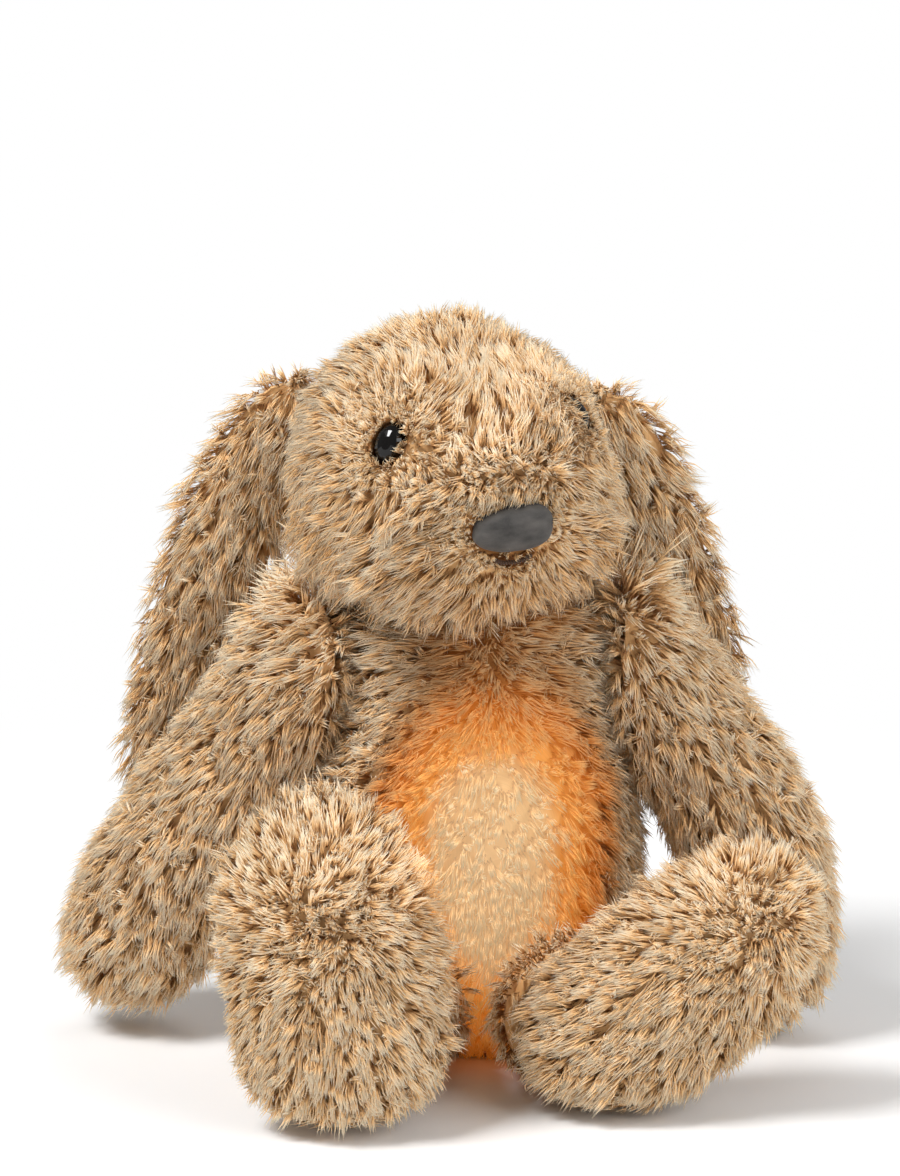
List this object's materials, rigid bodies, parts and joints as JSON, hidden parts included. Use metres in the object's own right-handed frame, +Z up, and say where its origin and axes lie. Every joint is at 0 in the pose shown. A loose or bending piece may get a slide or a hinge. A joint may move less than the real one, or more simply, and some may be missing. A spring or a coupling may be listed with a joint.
{
  "type": "plush night light",
  "caption": "Seated lop-eared plush rabbit with sewn limbs and a press-on battery light in a pocket behind its belly.",
  "frame": {"origin": "middle of the flat seat panel, on the floor", "axes": "+Z up, the toy faces -Y, its own right side is at -X"},
  "size_m": [0.2646, 0.1869, 0.2532],
  "materials": {
    "tan_fur": "long plush pile",
    "glowing_fur": "long plush pile lit from inside",
    "calico": "woven cotton",
    "white_wadding": "loose fibre",
    "grey_foam": "open-cell foam",
    "black_eye": "polished",
    "grey_nose": "short velour",
    "brown_thread": "matt thread",
    "white_plastic": "satin",
    "case_plastic": "satin",
    "milky_dome": "milky",
    "green_board": "solder mask",
    "warm_lamp": "clear",
    "black_plastic": "satin",
    "red_lead": "satin",
    "plated_steel": "bright",
    "battery_jacket": "printed film without print"
  },
  "bodies": {
    "torso": {"torso": "tan_fur", "seat_panel": "tan_fur", "bead_bag": "calico", "tail": "tan_fur", "pocket_lining": "calico", "lens_bezel": "case_plastic", "led_board": "green_board", "led_1": "warm_lamp", "led_2": "warm_lamp", "led_3": "warm_lamp", "led_4": "warm_lamp", "led_5": "warm_lamp", "led_6": "warm_lamp", "push_switch": "black_plastic", "case_front": "case_plastic", "case_back": "case_plastic", "case_screw_1": "plated_steel", "case_screw_2": "plated_steel", "case_screw_3": "plated_steel", "case_screw_4": "plated_steel", "battery_1": "battery_jacket", "battery_2": "battery_jacket", "battery_3": "battery_jacket", "contact_plate_1": "plated_steel", "contact_plate_2": "plated_steel", "contact_plate_3": "plated_steel", "contact_spring_1": "plated_steel", "contact_spring_2": "plated_steel", "contact_spring_3": "plated_steel", "slide_switch": "black_plastic", "battery_lead": "black_plastic", "switch_lead": "red_lead"},
    "neck": {"neck_fill": "white_wadding"},
    "head": {"head": "tan_fur", "eye_right": "black_eye", "eye_left": "black_eye", "eye_washer_right": "white_plastic", "eye_washer_left": "white_plastic", "nose": "grey_nose", "mouth_thread": "brown_thread"},
    "ear_right": {"ear_right": "tan_fur"},
    "ear_left": {"ear_left": "tan_fur"},
    "arm_right": {"arm_right": "tan_fur"},
    "arm_left": {"arm_left": "tan_fur"},
    "leg_right": {"leg_right": "tan_fur", "foot_right": "tan_fur"},
    "leg_left": {"leg_left": "tan_fur", "foot_left": "tan_fur"},
    "flap": {"pocket_flap": "tan_fur", "flap_pad": "grey_foam"},
    "lens": {"diffuser_dome": "milky_dome"},
    "plunger": {"switch_plunger": "white_plastic"},
    "battery_door": {"battery_door": "case_plastic"},
    "door_screw": {"door_screw": "plated_steel"},
    "mode_knob": {"mode_knob": "black_plastic"}
  },
  "joints": [
    {"name": "head_nod", "type": "hinge", "parent": "torso", "child": "neck", "pos_m": [-0.0075, 0, 0.162], "axis": [1, 0, 0], "range_deg": [-4, 12], "stiffness_Nm_per_rad": 3},
    {"name": "head_tilt", "type": "hinge", "parent": "neck", "child": "head", "pos_m": [-0.0075, 0, 0.162], "axis": [0, 1, 0], "range_deg": [-10, 10], "stiffness_Nm_per_rad": 3},
    {"name": "ear_right_lift", "type": "hinge", "parent": "head", "child": "ear_right", "pos_m": [-0.05517, 0.00446, 0.2267], "axis": [0, 1, 0], "range_deg": [0, 60], "stiffness_Nm_per_rad": 0.02},
    {"name": "ear_left_lift", "type": "hinge", "parent": "head", "child": "ear_left", "pos_m": [0.02689, 0.01007, 0.22256], "axis": [0, -1, 0], "range_deg": [0, 60], "stiffness_Nm_per_rad": 0.02},
    {"name": "arm_right_lift", "type": "hinge", "parent": "torso", "child": "arm_right", "pos_m": [-0.05766, -0.00269, 0.13518], "axis": [-0.342, 0.9397, 0], "range_deg": [0, 45], "stiffness_Nm_per_rad": 0.05},
    {"name": "arm_left_lift", "type": "hinge", "parent": "torso", "child": "arm_left", "pos_m": [0.04436, -0.00088, 0.13585], "axis": [-0.342, -0.9397, 0], "range_deg": [0, 45], "stiffness_Nm_per_rad": 0.05},
    {"name": "leg_right_lift", "type": "hinge", "parent": "torso", "child": "leg_right", "pos_m": [-0.027, -0.03, 0.026], "axis": [-1, 0, 0], "range_deg": [0, 12], "stiffness_Nm_per_rad": 1.5},
    {"name": "leg_left_lift", "type": "hinge", "parent": "torso", "child": "leg_left", "pos_m": [0.027, -0.03, 0.026], "axis": [-1, 0, 0], "range_deg": [0, 12], "stiffness_Nm_per_rad": 1.5},
    {"name": "pocket_flap_hinge", "type": "hinge", "parent": "torso", "child": "flap", "pos_m": [0, 0.03345, 0.12198], "axis": [1, 0, 0], "range_deg": [0, 100], "stiffness_Nm_per_rad": 0.01},
    {"name": "lens_press", "type": "slide", "parent": "torso", "child": "lens", "axis": [0, 1, 0], "range_m": [0, 0.002], "stiffness_N_per_m": 900, "springref_m": -0.0005},
    {"name": "switch_plunger_slide", "type": "slide", "parent": "torso", "child": "plunger", "axis": [0, 1, 0], "range_m": [0, 0.002]},
    {"name": "battery_door_slide", "type": "slide", "parent": "torso", "child": "battery_door", "axis": [0, 0, -1], "range_m": [0, 0.005]},
    {"name": "door_screw_turn", "type": "hinge", "parent": "torso", "child": "door_screw", "pos_m": [0, 0.0177, 0.1142], "axis": [0, 1, 0], "continuous": true},
    {"name": "mode_knob_slide", "type": "slide", "parent": "torso", "child": "mode_knob", "axis": [0, 0, 1], "range_m": [0, 0.004]}
  ],
  "couplings": [
    {"joint": "switch_plunger_slide", "follows": "lens_press", "ratio": 1}
  ]
}
